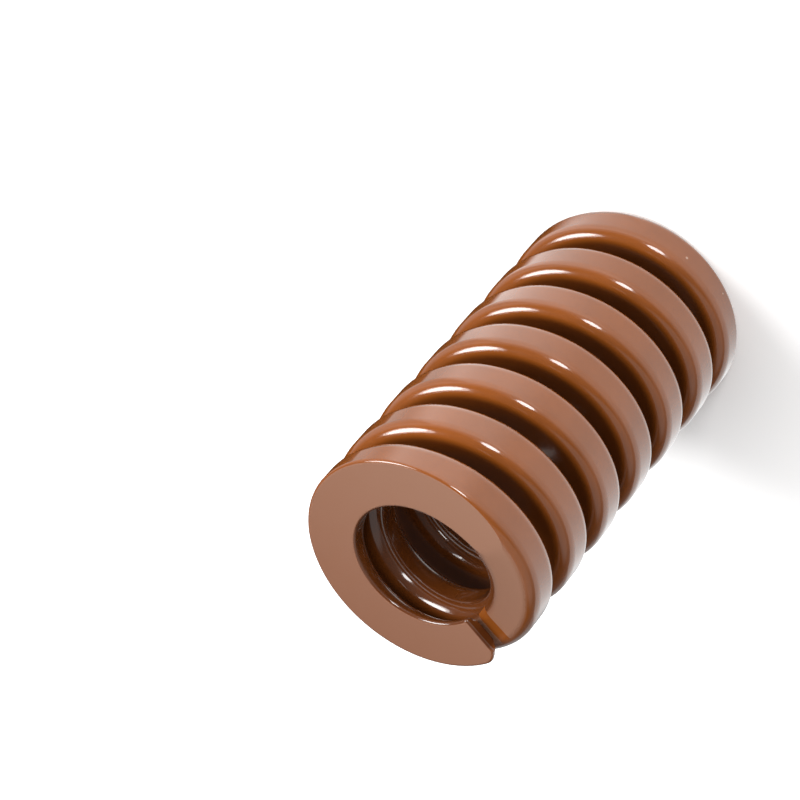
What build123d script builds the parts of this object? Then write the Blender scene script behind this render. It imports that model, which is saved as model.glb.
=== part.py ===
"""Die spring of rectangular wire, wound right-handed, with closed and ground ends.

The spring stands on its lower ground face with its axis on +Z. One wire of rounded rectangular
section is coiled into the whole spring. At each end a turn closes up, so that its tip lies on the
next turn, and the end is ground flat until the tip is only a thin wedge. The outside and the bore
are true cylinders, because the spring works in a pocket and over a guide rod.
"""
from build123d import *
from build123d.topology import SkipClean

import math
import os

# Size of the spring, in millimetres. It suits a 41 mm pocket and a 20 mm guide rod.
outer_diameter = 40.0
bore_diameter = 22.4
free_length = 75.0

# The wire: its height along the axis, and the rounding of its corners outside and in the bore.
wire_height = 7.65
outer_corner_radius = 2.1
bore_corner_radius = 2.7

# The coiling: turns from tip to tip, and where round the axis the lower tip lies, in degrees from +X.
total_turns = 7.39
start_angle = 119.0

# The ends: what grinding leaves of the wire at each tip, and the gap between a tip and its next turn.
tip_thickness = 2.05
tip_gap = 0.4
# The outer corner of each tip is rounded off, seen along the axis, so that it can't dig into the pocket.
tip_corner_radius = 2.8
# From the tip the closed pitch lasts closed_sweep degrees, and then opens over opening_sweep degrees.
closed_sweep = 225.0
opening_sweep = 60.0

# The wire is coiled this much wider than the spring, and both walls are then trued to size.
truing_allowance = 0.2

# The coil is lofted in spans of about half a turn, through a section every 30 degrees or so.
span_sweep = 180.0
section_step = 30.0

outer_radius = outer_diameter / 2
bore_radius = bore_diameter / 2
coil_sweep = 360.0 * total_turns

# Each end turn rises by the wire and the gap at its tip. The turns between share what is left.
end_turn_rise = wire_height + tip_gap
whole_rise = free_length - 2 * tip_thickness + wire_height
active_pitch = (whole_rise - 2 * end_turn_rise) / (total_turns - 2)
closed_turns = (closed_sweep + opening_sweep / 2) / 360
closed_pitch = (end_turn_rise - active_pitch * (1 - closed_turns)) / closed_turns

# Each rounding is this many flats, which keeps the long coil light.
corner_flats = 3

# No corner takes more than this share of the wire's side.
corner_share = 0.45


def rise_from_tip(turned: float) -> float:
    """How far the wire climbs along the axis in the first `turned` degrees from either tip."""
    opening = min(max(turned - closed_sweep, 0.0), opening_sweep)
    active = max(turned - closed_sweep - opening_sweep, 0.0)
    extra_turns = (opening**2 / (2 * opening_sweep) + active) / 360
    return closed_pitch * turned / 360 + (active_pitch - closed_pitch) * extra_turns


def wire_centre_height(turned: float) -> float:
    """Height of the wire's centre after `turned` degrees from the lower tip."""
    tip_centre = tip_thickness - wire_height / 2
    if turned <= coil_sweep / 2:
        return tip_centre + rise_from_tip(turned)
    return free_length - tip_centre - rise_from_tip(coil_sweep - turned)


def rounded_corner(centre: Vector, radius: float, first_angle: float) -> list[Vector]:
    """Points round a quarter circle from first_angle, as the ends of corner_flats flats."""
    quarter = [first_angle + 90.0 * step / corner_flats for step in range(corner_flats + 1)]
    return [centre + Vector(radius, 0).rotate(Axis.Z, angle) for angle in quarter]


def past_wall(wall_point: Vector, neighbour: Vector) -> Vector:
    """The wall's end of a corner, carried on along its last flat by the truing allowance.

    On a narrow wall it stops short of the middle, where it would meet the wall's other end.
    """
    flat = wall_point - neighbour
    to_middle = abs(wall_point.Y * flat.X / flat.Y)
    return wall_point + flat * (min(truing_allowance, 0.9 * to_middle) / abs(flat.X))


def wire_section() -> Sketch:
    """The wire's section in the XZ plane: four straight sides with rounded corners between them."""
    largest_corner = corner_share * min(outer_radius - bore_radius, wire_height)
    outer_round = min(outer_corner_radius, largest_corner)
    bore_round = min(bore_corner_radius, largest_corner)
    side = wire_height / 2
    outer_top = rounded_corner(Vector(outer_radius - outer_round, side - outer_round), outer_round, 0)
    bore_top = rounded_corner(Vector(bore_radius + bore_round, side - bore_round), bore_round, 90)
    bore_low = rounded_corner(Vector(bore_radius + bore_round, bore_round - side), bore_round, 180)
    outer_low = rounded_corner(Vector(outer_radius - outer_round, outer_round - side), outer_round, 270)
    for corner in (outer_top, bore_low):
        corner[0] = past_wall(corner[0], corner[1])
    for corner in (bore_top, outer_low):
        corner[-1] = past_wall(corner[-1], corner[-2])
    outline = Polyline(*outer_top, *bore_top, *bore_low, *outer_low, close=True)
    return Plane.XZ * make_face(outline)


def coiled_span(section: Sketch, first: float, last: float) -> Part:
    """The wire between two places along it, both in degrees from the lower tip."""
    steps = max(2, round((last - first) / section_step))
    places = [first + (last - first) * step / steps for step in range(steps + 1)]
    return loft(
        [Pos(0, 0, wire_centre_height(turned)) * Rot(0, 0, start_angle + turned) * section for turned in places]
    )


def coiled_wire() -> Part:
    """The whole coil as it leaves the coiler, before its ends are ground."""
    section = wire_section()
    span_count = round(coil_sweep / span_sweep)
    ends = [coil_sweep * span / span_count for span in range(span_count + 1)]
    spans = [coiled_span(section, first, last) for first, last in zip(ends, ends[1:])]
    return spans[0].fuse(*spans[1:])


def half_envelope(first_angle: float) -> Part:
    """Half of the tube that the finished spring just fills, from first_angle on round the axis."""
    on_axis = (Align.NONE, Align.NONE, Align.MIN)
    outside = Cylinder(outer_radius, free_length, arc_size=180, align=on_axis)
    return Rot(0, 0, first_angle) * (outside - Cylinder(bore_radius, free_length, align=on_axis))


def tip_corner() -> Part:
    """What rounding takes off the upper tip's outer corner, with the tip's cut face on the XZ plane."""
    reach = outer_radius - tip_corner_radius
    rounding_centre = Vector(reach, 0).rotate(Axis.Z, -math.degrees(math.asin(tip_corner_radius / reach)))
    past_outside = rounding_centre * ((outer_radius + 1) / reach)
    block = make_face(
        Polyline(
            rounding_centre,
            (rounding_centre.X, 1),
            (outer_radius + 1, 1),
            (outer_radius + 1, past_outside.Y),
            past_outside,
            close=True,
        )
    )
    block -= Pos(rounding_centre) * Circle(tip_corner_radius)
    # It reaches down into the gap under the tip, and not to the next turn.
    return extrude(block, amount=-(tip_thickness + tip_gap / 2))


def spring_coil() -> Part:
    """The finished spring: the coil ground flat at both ends, and trued outside and in the bore."""
    coil = coiled_wire()
    upper_corner = Pos(0, 0, free_length) * Rot(0, 0, start_angle + coil_sweep) * tip_corner()
    # The lower tip is the upper one turned over.
    lower_corner = Rot(0, 0, start_angle) * Rot(180, 0, 0) * tip_corner()
    # The walls stay divided at every half turn, as a face that winds on for a turn or more has no clear middle.
    with SkipClean():
        return (coil & half_envelope(0).fuse(half_envelope(180))) - upper_corner - lower_corner


os.makedirs("parts", exist_ok=True)
export_step(spring_coil(), "parts/spring_coil.step")
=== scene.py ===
"""A die spring of rectangular wire in brown enamel, standing on its end on a pale floor."""

from __future__ import annotations

import logging
import math
from dataclasses import dataclass, field
from enum import Enum

import bmesh
import bpy
from mathutils import Matrix, Vector

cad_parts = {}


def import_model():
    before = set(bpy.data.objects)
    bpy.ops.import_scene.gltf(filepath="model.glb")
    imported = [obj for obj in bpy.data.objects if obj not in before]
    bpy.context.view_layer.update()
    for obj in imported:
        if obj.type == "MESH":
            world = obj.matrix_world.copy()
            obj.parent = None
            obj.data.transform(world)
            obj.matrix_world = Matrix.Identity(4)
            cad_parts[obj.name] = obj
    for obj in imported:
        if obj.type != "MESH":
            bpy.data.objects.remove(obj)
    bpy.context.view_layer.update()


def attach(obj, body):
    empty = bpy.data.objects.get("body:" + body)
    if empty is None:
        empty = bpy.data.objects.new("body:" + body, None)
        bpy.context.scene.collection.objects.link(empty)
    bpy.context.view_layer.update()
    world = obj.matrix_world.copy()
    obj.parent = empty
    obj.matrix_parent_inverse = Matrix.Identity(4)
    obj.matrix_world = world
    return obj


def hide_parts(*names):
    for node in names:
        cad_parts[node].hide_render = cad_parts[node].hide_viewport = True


LOG = logging.getLogger("die_spring")
MILLIMETRE = 0.001
# In metres, points closer than the first are one point, and edges shorter than the second are none.
MERGE_DISTANCE = 2e-6
SHORTEST_EDGE = 1e-6
# A point of the wire's outline is a distance from the spring's axis and a height.
OutlinePoint = tuple[float, float]
# Settings that several nodes share.
SMOOTH = {"interpolation_type": "SMOOTHSTEP"}
MULTIPLY = {"operation": "MULTIPLY"}
SUBTRACT = {"operation": "SUBTRACT"}
MAXIMUM = {"operation": "MAXIMUM"}
ABSOLUTE = {"operation": "ABSOLUTE"}
COMPARE = {"operation": "COMPARE"}
DOT_PRODUCT = {"operation": "DOT_PRODUCT"}
COLOUR_MIX = {"data_type": "RGBA"}
NUMBER_MIX = {"data_type": "FLOAT"}


def linear_colour(hex_code: str) -> tuple[float, float, float, float]:
    """Turns an sRGB hex colour into the linear colour that a shader socket takes.

    Args:
        hex_code: The colour as "#rrggbb".

    Returns:
        Linear red, green and blue, and an alpha of 1.
    """
    parts = [int(hex_code[at:at + 2], 16) / 255 for at in (1, 3, 5)]
    linear = [part / 12.92 if part <= 0.04045 else ((part + 0.055) / 1.055) ** 2.4 for part in parts]
    return (linear[0], linear[1], linear[2], 1.0)


class NodeMaker:
    """Adds shader nodes to one node tree."""

    def __init__(self, tree: bpy.types.NodeTree) -> None:
        """Empties the tree and keeps it."""
        self.tree = tree
        tree.nodes.clear()

    def add(self, kind: str, settings: dict[str, str] | None = None, **inputs: object) -> bpy.types.Node:
        """Adds one node with its settings, and fills or links its inputs.

        Args:
            kind: The node's type, such as "ShaderNodeMath".
            settings: Attributes of the node, by name.
            **inputs: A value, an output socket or a node, which stands for its first output, for each
                input. The input goes by its name with _ for a space, or by its place as "at_0".

        Returns:
            The new node.
        """
        node = self.tree.nodes.new(kind)
        for name, value in (settings or {}).items():
            setattr(node, name, value)
        for name, value in inputs.items():
            socket = node.inputs[int(name[3:]) if name.startswith("at_") else name.replace("_", " ")]
            source = value.outputs[0] if isinstance(value, bpy.types.Node) else value
            if isinstance(source, bpy.types.NodeSocket):
                self.tree.links.new(source, socket)
            else:
                socket.default_value = source
        return node


@dataclass(frozen=True)
class Ramp:
    """A level that goes from low to high while a measure goes from start to end."""

    start: float
    end: float
    low: float = 0.0
    high: float = 1.0

    def inputs(self, unit: float = 1.0) -> dict[str, float]:
        """Gives the ramp as the inputs of a Map Range node.

        Args:
            unit: The measure's unit in metres, if it is a length.

        Returns:
            The inputs, by name with _ for a space.
        """
        return {
            "From_Min": self.start * unit,
            "From_Max": self.end * unit,
            "To_Min": self.low,
            "To_Max": self.high,
        }


class WallSide(Enum):
    """The two walls of the wire: which way its corners' centres lie from the wall."""

    OUTSIDE = 1
    BORE = -1


class CoilEnd(Enum):
    """The two ends of the coil: which way the wire's end points, as seen along the winding."""

    LOWER = -1
    UPPER = 1


@dataclass(frozen=True)
class EnamelFinish:
    """Baked brown enamel, sprayed over spring steel.

    It is a thick glossy coat, so the eye sees a warm brown body under clear reflections that are a
    little wavy. It is coloured darker in the gaps and the bore, which is painted shade, and paler on the
    duller ground ends, which is a painted reflection, lighter towards one side.
    """

    body_hex: str = "#8f4d1b"
    deep_hex: str = "#763e12"
    # Painted shade: the colour that the gaps and the bore darken towards.
    shade_hex: str = "#351609"
    # The ground ends are paler than the body, a painted reflection, and paler still towards +X, painted
    # light.
    ground_hex: str = "#8d614b"
    end_lit_side_hex: str = "#9b725d"
    steel_hex: str = "#b08f7a"
    ior: float = 1.4
    coat_roughness: float = 0.06
    coat_ior: float = 1.5
    # The clear gloss on the body, and what is left of it deep in the gaps.
    coat_weight: float = 1.0
    gap_coat_weight: float = 0.15
    # How strong the painted shade is in the gaps and in the bore.
    gap_share: float = 0.75
    bore_share: float = 0.62
    # The body's two browns change over about this length, in millimetres.
    mottle_size: float = 9.0
    mottle_detail: float = 3.0
    mottle_roughness: float = 0.55
    # Orange peel is a ripple about this long, in millimetres, and this high.
    peel_length: float = 1.6
    peel_height: float = 0.0045
    peel_detail: float = 1.5
    # Handling smudges are about this wide, in millimetres.
    smudge_size: float = 4.0
    smudge_detail: float = 4.0
    smudge_distortion: float = 0.6
    # The roughness over the noise's middle range, on the body and on the ground faces.
    body_smudge: Ramp = Ramp(0.3, 0.7, 0.12, 0.22)
    ground_smudge: Ramp = Ramp(0.3, 0.7, 0.29, 0.42)


@dataclass(frozen=True)
class Chip:
    """A speck of enamel knocked off: its place and its width, in millimetres."""

    place: tuple[float, float, float]
    width: float


@dataclass
class DieSpring:
    """The coil: its sizes in millimetres and degrees, its mesh and its enamel."""

    outer_diameter: float = 40.0
    bore_diameter: float = 22.4
    free_length: float = 75.0
    wire_height: float = 7.65
    outer_corner_radius: float = 2.1
    bore_corner_radius: float = 2.7
    total_turns: float = 7.39
    start_angle: float = 119.0
    tip_thickness: float = 2.05
    tip_gap: float = 0.4
    tip_corner_radius: float = 2.8
    closed_sweep: float = 225.0
    opening_sweep: float = 60.0
    # The broken edge that grinding and paint leave round a ground face and round a tip.
    edge_radius: float = 0.45
    # How finely the mesh follows the wire: degrees between sections, and steps round a corner, round a
    # broken edge and, for each step round a corner, round the corner of a tip.
    section_step: float = 3.0
    corner_steps: int = 6
    edge_steps: int = 3
    tip_corner_share: int = 4
    # Extra points this close to the ends of a flat keep its shading flat, and two more divide a flank.
    support: float = 0.18
    flank_marks: tuple[float, float] = (0.35, 0.65)
    # The painted shade of the gaps and the bore fades in between these shares of a corner's radius,
    # counted from its wall.
    shade_start: float = 0.6
    shade_end: float = 1.4
    # The lee of a tip is left without the painted shade and the painted pale end colour. The lee starts
    # this far from the tip's cut face and from the ground face, and goes this many tip thicknesses deep.
    lee_clearance: float = 0.1
    lee_depth: float = 1.3
    # The pale end colour, a painted reflection, starts at the first depth and is full from the second one
    # out, on faces that are this nearly level.
    end_depths: tuple[float, float] = (3.0, 2.6)
    level_facing: Ramp = Ramp(0.9, 0.995)
    chips: tuple[Chip, ...] = (Chip((19.98, -0.9, 3.25), 0.6), Chip((17.6, -9.5, 1.35), 0.4))
    finish: EnamelFinish = field(default_factory=EnamelFinish)

    @property
    def outer_radius(self) -> float:
        """Distance of the outer wall from the axis."""
        return self.outer_diameter / 2

    @property
    def bore_radius(self) -> float:
        """Distance of the bore's wall from the axis."""
        return self.bore_diameter / 2

    @property
    def coil_sweep(self) -> float:
        """The whole coil from tip to tip, in degrees."""
        return 360.0 * self.total_turns

    @property
    def active_pitch(self) -> float:
        """The climb of one open turn."""
        whole_rise = self.free_length - 2 * self.tip_thickness + self.wire_height
        return (whole_rise - 2 * (self.wire_height + self.tip_gap)) / (self.total_turns - 2)

    @property
    def closed_pitch(self) -> float:
        """The climb of one closed turn, if it went on for the whole turn."""
        closed_turns = (self.closed_sweep + self.opening_sweep / 2) / 360
        return (self.wire_height + self.tip_gap - self.active_pitch * (1 - closed_turns)) / closed_turns

    def rise_from_tip(self, turned: float) -> float:
        """Works out how far the wire climbs from a tip.

        Args:
            turned: Degrees from that tip.

        Returns:
            The climb along the axis.
        """
        opening = min(max(turned - self.closed_sweep, 0.0), self.opening_sweep)
        active = max(turned - self.closed_sweep - self.opening_sweep, 0.0)
        extra_turns = (opening**2 / (2 * self.opening_sweep) + active) / 360
        return self.closed_pitch * turned / 360 + (self.active_pitch - self.closed_pitch) * extra_turns

    def tip_corner_turns(self) -> list[tuple[float, float]]:
        """Finds the sections that follow the rounded outer corner of a tip.

        Returns:
            Pairs of degrees from the tip and the wire's outer radius there, from the tip on.
        """
        reach = self.outer_radius - self.tip_corner_radius
        lean = math.asin(self.tip_corner_radius / reach)
        steps = self.tip_corner_share * self.corner_steps
        turns = []
        for step in range(steps + 1):
            angle = (math.pi / 2 + lean) * (1 - step / steps)
            along = reach + self.tip_corner_radius * math.cos(angle)
            across = self.tip_corner_radius * math.sin(angle)
            turns.append((math.degrees(lean - math.atan2(across, along)), math.hypot(along, across)))
        edge = math.degrees(self.edge_radius / reach)
        return [turn for turn in turns if turn[0] >= edge]

    def side_points(self, side: WallSide, cut: float, outer_radius: float) -> list[OutlinePoint]:
        """Outlines one wall of the wire with both its corners, from the lower flank up to the upper one.

        Args:
            side: Which wall.
            cut: Height of the grinding plane from the wire's centre. Below the wire it cuts nothing.
            outer_radius: Distance of the outer wall from the spring's axis.

        Returns:
            Pairs of distance from the spring's axis and height from the wire's centre.
        """
        half = self.wire_height / 2
        edge = self.edge_radius
        if side is WallSide.OUTSIDE:
            wall, corner = outer_radius, self.outer_corner_radius
        else:
            wall, corner = self.bore_radius, self.bore_corner_radius
        inward = -side.value
        low_centre, high_centre = corner - half, half - corner
        edge_centre = max(cut, -half) + edge
        # The small edge rounding touches the wall, or whichever corner the grinding plane cuts.
        reach = corner - edge
        if edge_centre < low_centre:
            start = math.asin(min(1.0, (low_centre - edge_centre) / reach))
        elif edge_centre <= high_centre:
            start = 0.0
        else:
            start = -math.asin(min(1.0, (edge_centre - high_centre) / reach))
        depth = corner - reach * math.cos(start)
        points: list[OutlinePoint] = []
        for step in range(self.edge_steps + 1):
            angle = math.pi / 2 + (start - math.pi / 2) * step / self.edge_steps
            points.append((depth - edge * math.cos(angle), edge_centre - edge * math.sin(angle)))
        # What grinding takes away keeps its points, all in one place, so every outline has as many.
        for step in range(1, self.corner_steps + 1):
            angle = start * (1 - step / self.corner_steps)
            if start > 0:
                points.append((corner - corner * math.cos(angle), low_centre - corner * math.sin(angle)))
            else:
                points.append(points[-1])
        wall_low = min(max(low_centre, edge_centre), high_centre)
        near = min(self.support, (high_centre - wall_low) / 3)
        wall_heights = (wall_low + near, high_centre - near, high_centre)
        points += [(0.0, height) if start >= 0 else points[-1] for height in wall_heights]
        high_turn = max(-start, 0.0)
        for step in range(1, self.corner_steps + 1):
            angle = high_turn + (math.pi / 2 - high_turn) * step / self.corner_steps
            points.append((corner - corner * math.cos(angle), high_centre + corner * math.sin(angle)))
        # As many points as at the lower edge, so that a turned-over outline still meets its neighbour.
        points += [points[-1]] * self.edge_steps
        return [(wall + inward * depth, height) for depth, height in points]

    def flank_points(self, first: OutlinePoint, last: OutlinePoint) -> list[OutlinePoint]:
        """Divides a flank, with its outer points close to its ends.

        Args:
            first: The outline's last point before the flank.
            last: The outline's first point after it.

        Returns:
            The points between them.
        """
        width = abs(last[0] - first[0])
        near = min(self.support, width / 3) / width
        shares = (near, *self.flank_marks, 1 - near)
        return [tuple(a + (b - a) * share for a, b in zip(first, last)) for share in shares]

    def section_points(self, cut: float, outer_radius: float) -> list[OutlinePoint]:
        """Outlines the wire, all the way round.

        Args:
            cut: Height of the grinding plane from the wire's centre.
            outer_radius: Distance of the outer wall from the spring's axis.

        Returns:
            Pairs of distance from the axis and height from the wire's centre, from the lower outer edge
            up the outside, over, down the bore and back.
        """
        outside = self.side_points(WallSide.OUTSIDE, cut, outer_radius)
        bore = self.side_points(WallSide.BORE, cut, outer_radius)[::-1]
        upper_flank = self.flank_points(outside[-1], bore[0])
        lower_flank = self.flank_points(bore[-1], outside[0])
        return outside + upper_flank + bore + lower_flank

    def turned_over(self, outline: list[OutlinePoint]) -> list[OutlinePoint]:
        """Runs an outline the other way, so that it meets its neighbour point for point.

        Args:
            outline: The wire's outline, all the way round.

        Returns:
            The same points from the upper outer edge on, in the opposite order.
        """
        flank_count = len(self.flank_marks) + 2
        side_count = len(outline) // 2 - flank_count
        return (outline[side_count:] + outline[:side_count])[::-1]

    def placed_section(self, turned: float, outer_radius: float) -> list[Vector]:
        """Places the wire's outline at one place along the coil.

        Args:
            turned: Degrees from the lower tip.
            outer_radius: Distance of the outer wall from the spring's axis.

        Returns:
            Points in millimetres in the spring's frame.
        """
        from_top = turned > self.coil_sweep / 2
        from_tip = self.coil_sweep - turned if from_top else turned
        centre = self.tip_thickness - self.wire_height / 2 + self.rise_from_tip(from_tip)
        outline = self.section_points(-centre, outer_radius)
        placed = [(radius, centre + height) for radius, height in outline]
        if from_top:
            # The upper end is the lower one turned over, so its outline runs the other way.
            placed = self.turned_over([(radius, self.free_length - height) for radius, height in placed])
        angle = math.radians(self.start_angle + turned)
        return [
            Vector((radius * math.cos(angle), radius * math.sin(angle), height)) for radius, height in placed
        ]

    def end_angle(self, end: CoilEnd) -> float:
        """Where the tip of one end stands round the axis, in degrees."""
        return self.start_angle + (self.coil_sweep if end is CoilEnd.UPPER else 0.0)

    def onward(self, end: CoilEnd) -> Vector:
        """Gives the level direction in which the wire would have gone on past one end.

        Args:
            end: Which end of the coil.

        Returns:
            A unit vector along the winding, out of the wire's cut face.
        """
        angle = math.radians(self.end_angle(end))
        return Vector((-end.value * math.sin(angle), end.value * math.cos(angle), 0.0))

    def tip_rings(self, section: list[Vector], outward: Vector) -> list[list[Vector]]:
        """Rounds the edge of a tip's cut face.

        Args:
            section: The wire's outline where the rounding starts, its own radius short of the tip.
            outward: Unit direction in which the wire would have gone on.

        Returns:
            Rings from the wire's side onto the cut face, the flat face's own outline last.
        """
        centre = sum(section, Vector()) / len(section)
        rings = []
        for step in range(1, self.edge_steps + 1):
            angle = math.pi / 2 * step / self.edge_steps
            inset = self.edge_radius * (1 - math.cos(angle))
            ring = []
            for point in section:
                to_centre = centre - point
                level = Vector((to_centre.x, to_centre.y, 0.0))
                moved = point + outward * self.edge_radius * math.sin(angle)
                moved += level.normalized() * min(inset, level.length)
                moved.z += math.copysign(min(inset, abs(to_centre.z)), to_centre.z)
                ring.append(moved)
            rings.append(ring)
        return rings

    def rings(self) -> list[list[Vector]]:
        """Places all the outlines that the coil's skin runs through.

        Returns:
            Rings of points in millimetres, from the lower tip's cut face to the upper one's.
        """
        corner = self.tip_corner_turns()
        past_corner = corner[-1][0]
        plain_sweep = self.coil_sweep - 2 * past_corner
        section_count = round(plain_sweep / self.section_step)
        plain = [past_corner + plain_sweep * at / section_count for at in range(1, section_count)]
        turns = corner + [(turned, self.outer_radius) for turned in plain]
        turns += [(self.coil_sweep - turned, radius) for turned, radius in corner[::-1]]
        wound = [self.placed_section(turned, radius) for turned, radius in turns]
        lower_tip = self.tip_rings(wound[0], self.onward(CoilEnd.LOWER))[::-1]
        upper_tip = self.tip_rings(wound[-1], self.onward(CoilEnd.UPPER))
        return lower_tip + wound + upper_tip

    def build(self) -> bpy.types.Object:
        """Makes the coil as one closed smooth mesh, in metres.

        Returns:
            The coil's object, with its place in its mesh.
        """
        shape = bmesh.new()
        placed = [[shape.verts.new(point * MILLIMETRE) for point in ring] for ring in self.rings()]
        count = len(placed[0])
        for ring, after in zip(placed, placed[1:]):
            for at in range(count):
                beside = (at + 1) % count
                shape.faces.new((ring[at], ring[beside], after[beside], after[at]))
        caps = [shape.faces.new(placed[0][::-1]), shape.faces.new(placed[-1])]
        for face in shape.faces:
            face.smooth = face not in caps
        bmesh.ops.remove_doubles(shape, verts=shape.verts, dist=MERGE_DISTANCE)
        bmesh.ops.dissolve_degenerate(shape, edges=shape.edges, dist=SHORTEST_EDGE)
        bmesh.ops.recalc_face_normals(shape, faces=shape.faces)
        mesh = bpy.data.meshes.new("enamelled_coil")
        shape.to_mesh(mesh)
        shape.free()
        coil = bpy.data.objects.new("enamelled_coil", mesh)
        bpy.context.scene.collection.objects.link(coil)
        return coil

    def dress(self, coil: bpy.types.Object) -> None:
        """Gives the coil its enamel."""
        coil.data.materials.clear()
        coil.data.materials.append(self.enamel())

    def painted_gap_shade(self, make: NodeMaker, place: bpy.types.Node) -> bpy.types.Node:
        """Finds how strong the painted shade is in the depth of the gaps and the bore.

        Args:
            make: Adds the nodes.
            place: The point's place on the coil in metres, split into its parts.

        Returns:
            0 on the outer wall, and the finish's own shares in the gaps and in the bore.
        """
        level_place = make.add("ShaderNodeCombineXYZ", X=place.outputs["X"], Y=place.outputs["Y"])
        radius = make.add("ShaderNodeVectorMath", {"operation": "LENGTH"}, at_0=level_place).outputs["Value"]
        gap = Ramp(
            self.outer_radius - self.shade_start * self.outer_corner_radius,
            self.outer_radius - self.shade_end * self.outer_corner_radius,
        )
        bore = Ramp(
            self.bore_radius + self.shade_end * self.bore_corner_radius,
            self.bore_radius + self.shade_start * self.bore_corner_radius,
            self.finish.gap_share,
            self.finish.bore_share,
        )
        in_gap = make.add("ShaderNodeMapRange", SMOOTH, Value=radius, **gap.inputs(MILLIMETRE))
        in_bore = make.add("ShaderNodeMapRange", SMOOTH, Value=radius, **bore.inputs(MILLIMETRE))
        return make.add("ShaderNodeMath", MULTIPLY, at_0=in_gap, at_1=in_bore)

    def lee_of_tip(self, make: NodeMaker, place: bpy.types.NodeSocket, end: CoilEnd) -> bpy.types.Node:
        """Finds the flank in the lee of a tip, which is left without the painted shade and painted end
        colour.

        Args:
            make: Adds the nodes.
            place: The point's place on the coil, in metres.
            end: Which end of the coil.

        Returns:
            1 in the lee and 0 elsewhere.
        """
        angle = math.radians(self.end_angle(end))
        across = (math.cos(angle), math.sin(angle), 0.0)
        # The lee is as long as the step down from the ground face, and it starts just clear of the cut face.
        length = self.tip_thickness + self.tip_gap
        along = make.add("ShaderNodeVectorMath", DOT_PRODUCT, at_0=place, at_1=tuple(self.onward(end)))
        lee = make.add(
            "ShaderNodeMath",
            COMPARE,
            at_0=along.outputs["Value"],
            at_1=(length + self.lee_clearance) / 2 * MILLIMETRE,
            at_2=(length - self.lee_clearance) / 2 * MILLIMETRE,
        )
        half_depth = self.lee_depth * self.tip_thickness / 2
        end_height = self.free_length if end is CoilEnd.UPPER else 0.0
        deep = make.add(
            "ShaderNodeMath",
            COMPARE,
            at_0=make.add("ShaderNodeSeparateXYZ", Vector=place).outputs["Z"],
            at_1=(end_height - end.value * (half_depth + self.lee_clearance)) * MILLIMETRE,
            at_2=half_depth * MILLIMETRE,
        )
        outward = make.add("ShaderNodeVectorMath", DOT_PRODUCT, at_0=place, at_1=across).outputs["Value"]
        near_side = make.add("ShaderNodeMath", {"operation": "GREATER_THAN"}, at_0=outward, at_1=0.0)
        both = make.add("ShaderNodeMath", MULTIPLY, at_0=lee, at_1=deep)
        return make.add("ShaderNodeMath", MULTIPLY, at_0=both, at_1=near_side)

    def end_face(self, make: NodeMaker, height: bpy.types.NodeSocket) -> bpy.types.Node:
        """Finds the ground faces and the level flanks beside them.

        Args:
            make: Adds the nodes.
            height: The point's height on the coil, in metres.

        Returns:
            1 on a level face at either end and 0 elsewhere.
        """
        facing = make.add("ShaderNodeSeparateXYZ", Vector=make.add("ShaderNodeNewGeometry").outputs["Normal"])
        upright = make.add("ShaderNodeMath", ABSOLUTE, at_0=facing.outputs["Z"])
        level = make.add("ShaderNodeMapRange", Value=upright, **self.level_facing.inputs())
        middle = self.free_length / 2
        off_middle = make.add("ShaderNodeMath", SUBTRACT, at_0=height, at_1=middle * MILLIMETRE)
        distance = make.add("ShaderNodeMath", ABSOLUTE, at_0=off_middle)
        ends = Ramp(*(middle - depth for depth in self.end_depths))
        at_end = make.add("ShaderNodeMapRange", Value=distance, **ends.inputs(MILLIMETRE))
        return make.add("ShaderNodeMath", MULTIPLY, at_0=level, at_1=at_end)

    def body_colour(
        self, make: NodeMaker, place: bpy.types.NodeSocket, darkened: bpy.types.Node
    ) -> bpy.types.NodeSocket:
        """Colours the enamel's body, darkened by painted shade in the gaps and the bore.

        Args:
            make: Adds the nodes.
            place: The point's place on the coil, in metres.
            darkened: How much painted shade darkens the colour.

        Returns:
            The colour.
        """
        finish = self.finish
        mottle = make.add(
            "ShaderNodeTexNoise",
            Vector=place,
            Scale=1 / (finish.mottle_size * MILLIMETRE),
            Detail=finish.mottle_detail,
            Roughness=finish.mottle_roughness,
        )
        body = make.add(
            "ShaderNodeMix",
            COLOUR_MIX,
            Factor=mottle.outputs["Fac"],
            at_6=linear_colour(finish.deep_hex),
            at_7=linear_colour(finish.body_hex),
        )
        return make.add(
            "ShaderNodeMix",
            COLOUR_MIX,
            Factor=darkened,
            at_6=body.outputs[2],
            at_7=linear_colour(finish.shade_hex),
        ).outputs[2]

    def ground_colour(self, make: NodeMaker, across: bpy.types.NodeSocket) -> bpy.types.NodeSocket:
        """Colours the ground faces paler than the body, a painted reflection, and paler towards one side,
        painted light.

        Args:
            make: Adds the nodes.
            across: The point's place from one side of the coil to the other, in metres.

        Returns:
            The colour.
        """
        side_to_side = Ramp(-self.outer_radius, self.outer_radius)
        towards_lit_side = make.add("ShaderNodeMapRange", Value=across, **side_to_side.inputs(MILLIMETRE))
        return make.add(
            "ShaderNodeMix",
            COLOUR_MIX,
            Factor=towards_lit_side,
            at_6=linear_colour(self.finish.ground_hex),
            at_7=linear_colour(self.finish.end_lit_side_hex),
        ).outputs[2]

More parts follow.
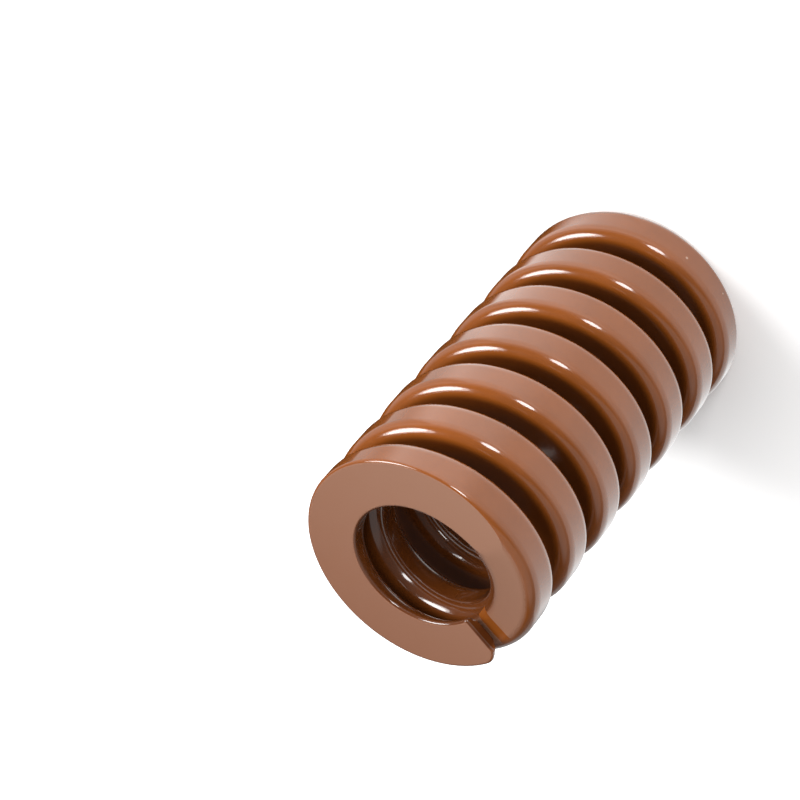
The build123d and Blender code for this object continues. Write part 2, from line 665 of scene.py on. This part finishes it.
    def chipped(
        self, make: NodeMaker, place: bpy.types.NodeSocket, colour: bpy.types.NodeSocket
    ) -> bpy.types.NodeSocket:
        """Bares a speck of steel at each chip.

        Args:
            make: Adds the nodes.
            place: The point's place on the coil, in metres.
            colour: The enamel's colour.

        Returns:
            The colour with the specks.
        """
        for chip in self.chips:
            centre = tuple(part * MILLIMETRE for part in chip.place)
            from_chip = make.add("ShaderNodeVectorMath", {"operation": "DISTANCE"}, at_0=place, at_1=centre)
            speck = Ramp(chip.width / 2, chip.width / 4)
            bare = make.add(
                "ShaderNodeMapRange", Value=from_chip.outputs["Value"], **speck.inputs(MILLIMETRE)
            )
            colour = make.add(
                "ShaderNodeMix",
                COLOUR_MIX,
                Factor=bare,
                at_6=colour,
                at_7=linear_colour(self.finish.steel_hex),
            ).outputs[2]
        return colour

    def smudged_roughness(
        self, make: NodeMaker, place: bpy.types.NodeSocket, ground: bpy.types.Node
    ) -> bpy.types.Node:
        """Sets the roughness, which handling smudges vary.

        Args:
            make: Adds the nodes.
            place: The point's place on the coil, in metres.
            ground: 1 on the ground faces and 0 on the body.

        Returns:
            The roughness.
        """
        finish = self.finish
        smudge = make.add(
            "ShaderNodeTexNoise",
            Vector=place,
            Scale=1 / (finish.smudge_size * MILLIMETRE),
            Detail=finish.smudge_detail,
            Distortion=finish.smudge_distortion,
        ).outputs["Fac"]
        body = make.add("ShaderNodeMapRange", Value=smudge, **finish.body_smudge.inputs())
        face = make.add("ShaderNodeMapRange", Value=smudge, **finish.ground_smudge.inputs())
        return make.add("ShaderNodeMix", NUMBER_MIX, Factor=ground, at_2=body, at_3=face)

    def orange_peel(self, make: NodeMaker, place: bpy.types.NodeSocket) -> bpy.types.Node:
        """Ripples the surface a little, as sprayed enamel does when it is baked.

        Args:
            make: Adds the nodes.
            place: The point's place on the coil, in metres.

        Returns:
            The rippled normal.
        """
        finish = self.finish
        scale = 1 / (finish.peel_length * MILLIMETRE)
        peel = make.add("ShaderNodeTexNoise", Vector=place, Scale=scale, Detail=finish.peel_detail)
        return make.add(
            "ShaderNodeBump",
            Strength=1.0,
            Distance=finish.peel_height * MILLIMETRE,
            Height=peel.outputs["Fac"],
        )

    def enamel(self) -> bpy.types.Material:
        """Makes the baked enamel over spring steel: orange peel, smudges, chips, painted shade and
        reflection.

        Returns:
            The material.
        """
        finish = self.finish
        material = bpy.data.materials.new("baked_brown_enamel")
        material.use_nodes = True
        make = NodeMaker(material.node_tree)
        place = make.add("ShaderNodeTexCoord").outputs["Object"]
        parts = make.add("ShaderNodeSeparateXYZ", Vector=place)
        lees = make.add(
            "ShaderNodeMath",
            {"operation": "ADD"},
            at_0=self.lee_of_tip(make, place, CoilEnd.UPPER),
            at_1=self.lee_of_tip(make, place, CoilEnd.LOWER),
        )
        off_lees = make.add("ShaderNodeMath", SUBTRACT, at_0=1.0, at_1=lees)
        # Painted shade in the gaps and the bore, left off in the lee of each tip.
        darkened = make.add("ShaderNodeMath", MULTIPLY, at_0=self.painted_gap_shade(make, parts), at_1=off_lees)
        end_face = self.end_face(make, parts.outputs["Z"])
        # Painted reflection: the pale colour of the ground ends, left off in the lee of each tip.
        ground = make.add("ShaderNodeMath", MULTIPLY, at_0=end_face, at_1=off_lees)
        enamelled = make.add(
            "ShaderNodeMix",
            COLOUR_MIX,
            Factor=ground,
            at_6=self.body_colour(make, place, darkened),
            at_7=self.ground_colour(make, parts.outputs["X"]),
        )
        # Deep in the gaps, where the shade is painted, the clear coat is thinned too, so they mirror less:
        # this also stands in for shade.
        off_ends = make.add("ShaderNodeMath", SUBTRACT, at_0=1.0, at_1=end_face)
        deep_in_gap = make.add("ShaderNodeMath", MULTIPLY, at_0=darkened, at_1=off_ends)
        gloss = Ramp(finish.bore_share, finish.gap_share, finish.coat_weight, finish.gap_coat_weight)
        rippled = self.orange_peel(make, place)
        shader = make.add(
            "ShaderNodeBsdfPrincipled",
            Base_Color=self.chipped(make, place, enamelled.outputs[2]),
            Roughness=self.smudged_roughness(make, place, ground),
            IOR=finish.ior,
            Coat_Weight=make.add("ShaderNodeMapRange", Value=deep_in_gap, **gloss.inputs()),
            Coat_Roughness=finish.coat_roughness,
            Coat_IOR=finish.coat_ior,
            Normal=rippled,
            Coat_Normal=rippled,
        )
        make.add("ShaderNodeOutputMaterial", Surface=shader)
        return material


@dataclass(frozen=True)
class PaperFinish:
    """Matt white paper, uncoated.

    It scatters light evenly, so the eye sees plain white under a soft shadow. In the enamel's
    reflections it is a glow of its own instead, painted light, brighter on the side of the strip lamps,
    with a painted brown reflection on one side. Distances are in millimetres from the spring's axis,
    along the direction named with them.
    """

    paper_hex: str = "#f4f4f4"
    white_hex: str = "#ffffff"
    # To the eye, the paper fades into the white behind it over these distances.
    fade: Ramp = Ramp(20.0, 85.0, 0.2, 0.75)
    # What the enamel mirrors is a painted glow: brighter towards the strip lamps, dimmer beyond the spring.
    lamp_side: Ramp = Ramp(0.0, 50.0, 1.05, 1.6)
    far_side: Ramp = Ramp(-60.0, -20.0, 0.4, 1.0)
    far_direction: tuple[float, float, float] = (1.0, -0.5, 0.0)
    # On one side the glow is brown: a painted reflection of a brown neighbour that is not in the scene.
    brown_hex: str = "#b06a3c"
    brown_level: float = 0.3
    brown_edge: Ramp = Ramp(16.0, 22.0)
    brown_direction: tuple[float, float, float] = (0.707, 0.707, 0.0)
    brown_front: Ramp = Ramp(20.0, 10.0)

    def mirrored(self, make: NodeMaker, place: bpy.types.NodeSocket) -> bpy.types.Node:
        """Makes the glow that the enamel mirrors in place of the paper: painted light and a painted
        reflection.

        Args:
            make: Adds the nodes.
            place: The point's place on the paper, in metres.

        Returns:
            The shader.
        """
        to_lamps = make.add("ShaderNodeSeparateXYZ", Vector=place).outputs["Y"]
        to_far_side = make.add("ShaderNodeVectorMath", DOT_PRODUCT, at_0=place, at_1=self.far_direction)
        to_paper = make.add("ShaderNodeVectorMath", DOT_PRODUCT, at_0=place, at_1=self.brown_direction)
        lamp_side = make.add(
            "ShaderNodeMapRange", SMOOTH, Value=to_lamps, **self.lamp_side.inputs(MILLIMETRE)
        )
        far_side = make.add(
            "ShaderNodeMapRange",
            SMOOTH,
            Value=to_far_side.outputs["Value"],
            **self.far_side.inputs(MILLIMETRE),
        )
        past_brown = make.add(
            "ShaderNodeMapRange",
            SMOOTH,
            Value=to_paper.outputs["Value"],
            **self.brown_edge.inputs(MILLIMETRE),
        )
        in_front = make.add("ShaderNodeMapRange", Value=to_lamps, **self.brown_front.inputs(MILLIMETRE))
        bare = make.add("ShaderNodeMath", MAXIMUM, at_0=past_brown, at_1=in_front)
        paper_level = make.add("ShaderNodeMath", MULTIPLY, at_0=lamp_side, at_1=far_side)
        level = make.add("ShaderNodeMix", NUMBER_MIX, Factor=bare, at_2=self.brown_level, at_3=paper_level)
        colour = make.add(
            "ShaderNodeMix",
            COLOUR_MIX,
            Factor=bare,
            at_6=linear_colour(self.brown_hex),
            at_7=linear_colour(self.white_hex),
        )
        return make.add("ShaderNodeEmission", Color=colour.outputs[2], Strength=level)

    def material(self) -> bpy.types.Material:
        """Makes the paper.

        Returns:
            The material.
        """
        material = bpy.data.materials.new("matt_white_paper")
        material.use_nodes = True
        make = NodeMaker(material.node_tree)
        place = make.add("ShaderNodeTexCoord").outputs["Object"]
        distance = make.add("ShaderNodeVectorMath", {"operation": "LENGTH"}, at_0=place).outputs["Value"]
        fade = make.add("ShaderNodeMapRange", Value=distance, **self.fade.inputs(MILLIMETRE))
        glow = make.add("ShaderNodeEmission", Color=linear_colour(self.white_hex), Strength=fade)
        paper = make.add("ShaderNodeBsdfDiffuse", Color=linear_colour(self.paper_hex))
        seen = make.add("ShaderNodeAddShader", at_0=paper, at_1=glow)
        ray = make.add("ShaderNodeLightPath")
        lit = make.add("ShaderNodeMixShader", at_0=ray.outputs["Is Camera Ray"], at_1=paper, at_2=seen)
        mixed = make.add(
            "ShaderNodeMixShader",
            at_0=ray.outputs["Is Glossy Ray"],
            at_1=lit,
            at_2=self.mirrored(make, place),
        )
        make.add("ShaderNodeOutputMaterial", Surface=mixed)
        return material


@dataclass(frozen=True)
class SurroundLight:
    """The light all round: white to the eye, soft on the spring.

    Its levels follow the cosine between a direction and the one named with them, or the direction's
    own height.
    """

    white_hex: str = "#ffffff"
    white_level: float = 1.0
    # Light comes mostly from the open side of the studio.
    open_direction: tuple[float, float, float] = (0.854, 0.520, 0.0)
    open_side: Ramp = Ramp(-1.0, 1.0, 0.1, 0.95)
    # Mirrored in the enamel, the surround is white low down, dim higher up and dim away from that side.
    horizon: Ramp = Ramp(0.0, 0.52, 0.95, 0.15)
    dim_side: Ramp = Ramp(-1.0, 0.6, 0.15, 1.0)
    # A pale wall stands on one side, above the horizon.
    wall_direction: tuple[float, float, float] = (0.0, -0.72, 0.69)
    pale_wall: Ramp = Ramp(0.74, 0.92, 0.0, 0.55)

    def mirrored_level(
        self, make: NodeMaker, direction: bpy.types.NodeSocket, towards: bpy.types.NodeSocket
    ) -> bpy.types.Node:
        """Finds how bright the enamel mirrors the surround.

        Args:
            make: Adds the nodes.
            direction: The direction looked in.
            towards: The cosine between it and the open side.

        Returns:
            The level.
        """
        height = make.add("ShaderNodeSeparateXYZ", Vector=direction).outputs["Z"]
        horizon = make.add("ShaderNodeMapRange", SMOOTH, Value=height, **self.horizon.inputs())
        dim_side = make.add("ShaderNodeMapRange", Value=towards, **self.dim_side.inputs())
        open_air = make.add("ShaderNodeMath", MULTIPLY, at_0=horizon, at_1=dim_side)
        to_wall = make.add("ShaderNodeVectorMath", DOT_PRODUCT, at_0=direction, at_1=self.wall_direction)
        wall = make.add(
            "ShaderNodeMapRange", SMOOTH, Value=to_wall.outputs["Value"], **self.pale_wall.inputs()
        )
        return make.add("ShaderNodeMath", MAXIMUM, at_0=open_air, at_1=wall)

    def build(self) -> bpy.types.World:
        """Makes the surrounding light.

        Returns:
            The world, in the scene.
        """
        world = bpy.data.worlds.new("studio")
        bpy.context.scene.world = world
        world.use_nodes = True
        make = NodeMaker(world.node_tree)
        direction = make.add("ShaderNodeTexCoord").outputs["Generated"]
        to_open_side = make.add("ShaderNodeVectorMath", DOT_PRODUCT, at_0=direction, at_1=self.open_direction)
        towards = to_open_side.outputs["Value"]
        lighting = make.add("ShaderNodeMapRange", Value=towards, **self.open_side.inputs())
        mirrored_level = self.mirrored_level(make, direction, towards)
        white = linear_colour(self.white_hex)
        soft = make.add("ShaderNodeBackground", Color=white, Strength=lighting)
        mirrored = make.add("ShaderNodeBackground", Color=white, Strength=mirrored_level)
        seen = make.add("ShaderNodeBackground", Color=white, Strength=self.white_level)
        ray = make.add("ShaderNodeLightPath")
        unseen = make.add("ShaderNodeMixShader", at_0=ray.outputs["Is Glossy Ray"], at_1=soft, at_2=mirrored)
        final = make.add("ShaderNodeMixShader", at_0=ray.outputs["Is Camera Ray"], at_1=unseen, at_2=seen)
        make.add("ShaderNodeOutputWorld", Surface=final)
        return world


@dataclass(frozen=True)
class SoftBox:
    """A lamp with a round face: its direction and distance from the spring's middle, and its light.

    Sizes are in millimetres.
    """

    name: str
    direction: tuple[float, float, float]
    distance: float
    width: float
    depth: float
    watts: float


@dataclass
class Studio:
    """The pale floor, the lamps, the surrounding light and the camera, in millimetres and degrees."""

    middle: tuple[float, float, float] = (0.0, 0.0, 37.5)
    floor_size: float = 3000.0
    paper: PaperFinish = field(default_factory=PaperFinish)
    surround: SurroundLight = field(default_factory=SurroundLight)
    boxes: tuple[SoftBox, ...] = (
        SoftBox("strip_box", (-0.035, 0.668, 0.743), 600.0, 340.0, 360.0, 1.8),
        SoftBox("strip_core", (-0.035, 0.668, 0.743), 590.0, 270.0, 230.0, 1.4),
        SoftBox("key_box", (0.90, 0.20, 0.38), 700.0, 190.0, 300.0, 1.9),
    )
    camera_aim: tuple[float, float, float] = (0.0, 19.12, 51.59)
    camera_distance: float = 475.87
    camera_elevation: float = 41.506
    camera_roll: float = 221.614
    lens_length: float = 133.17
    sensor_width: float = 36.0
    # What the camera sees starts and ends at these distances.
    view_depth: tuple[float, float] = (10.0, 20000.0)

    def floor(self) -> bpy.types.Object:
        """Lays the floor under the spring.

        Returns:
            The floor's object.
        """
        half = self.floor_size / 2 * MILLIMETRE
        corners = [(-half, -half, 0), (half, -half, 0), (half, half, 0), (-half, half, 0)]
        mesh = bpy.data.meshes.new("floor")
        mesh.from_pydata(corners, [], [(0, 1, 2, 3)])
        mesh.materials.append(self.paper.material())
        floor = bpy.data.objects.new("floor", mesh)
        bpy.context.scene.collection.objects.link(floor)
        return floor

    def lamps(self) -> None:
        """Hangs the soft boxes round the spring, each facing its middle."""
        for box in self.boxes:
            lamp = bpy.data.lights.new(box.name, "AREA")
            lamp.shape = "ELLIPSE"
            lamp.size = box.width * MILLIMETRE
            lamp.size_y = box.depth * MILLIMETRE
            lamp.energy = box.watts
            holder = bpy.data.objects.new(box.name, lamp)
            away = Vector(box.direction).normalized()
            holder.location = (Vector(self.middle) + away * box.distance) * MILLIMETRE
            holder.rotation_euler = away.to_track_quat("Z", "Y").to_euler()
            holder.visible_camera = False
            bpy.context.scene.collection.objects.link(holder)

    def camera(self) -> bpy.types.Object:
        """Sets up the camera, which looks down past the upper end.

        It is rolled so that this end stands lowest in its view.

        Returns:
            The camera's object.
        """
        lens = bpy.data.cameras.new("camera")
        lens.lens = self.lens_length
        lens.sensor_width = self.sensor_width
        lens.clip_start, lens.clip_end = (depth * MILLIMETRE for depth in self.view_depth)
        camera = bpy.data.objects.new("camera", lens)
        tilt = math.radians(self.camera_elevation)
        back = Vector((math.cos(tilt), 0.0, math.sin(tilt)))
        right = Vector((0.0, 1.0, 0.0))
        upright = Matrix((right, back.cross(right), back)).transposed()
        turn = upright @ Matrix.Rotation(math.radians(self.camera_roll), 3, "Z")
        place = (Vector(self.camera_aim) + back * self.camera_distance) * MILLIMETRE
        camera.matrix_world = Matrix.Translation(place) @ turn.to_4x4()
        bpy.context.scene.collection.objects.link(camera)
        bpy.context.scene.camera = camera
        return camera


def main() -> None:
    """Builds the spring and its studio."""
    logging.basicConfig(level=logging.INFO, format="%(name)s: %(message)s")
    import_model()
    spring = DieSpring()
    coil = spring.build()
    spring.dress(coil)
    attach(coil, "root")
    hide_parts("spring_coil")
    LOG.info("coil: %d faces", len(coil.data.polygons))
    studio = Studio()
    studio.floor()
    studio.surround.build()
    studio.lamps()
    studio.camera()
    bpy.context.scene.view_settings.view_transform = "Standard"
    LOG.info("studio: floor, surround, %d lamps and camera", len(studio.boxes))


if __name__ == "__main__":
    main()
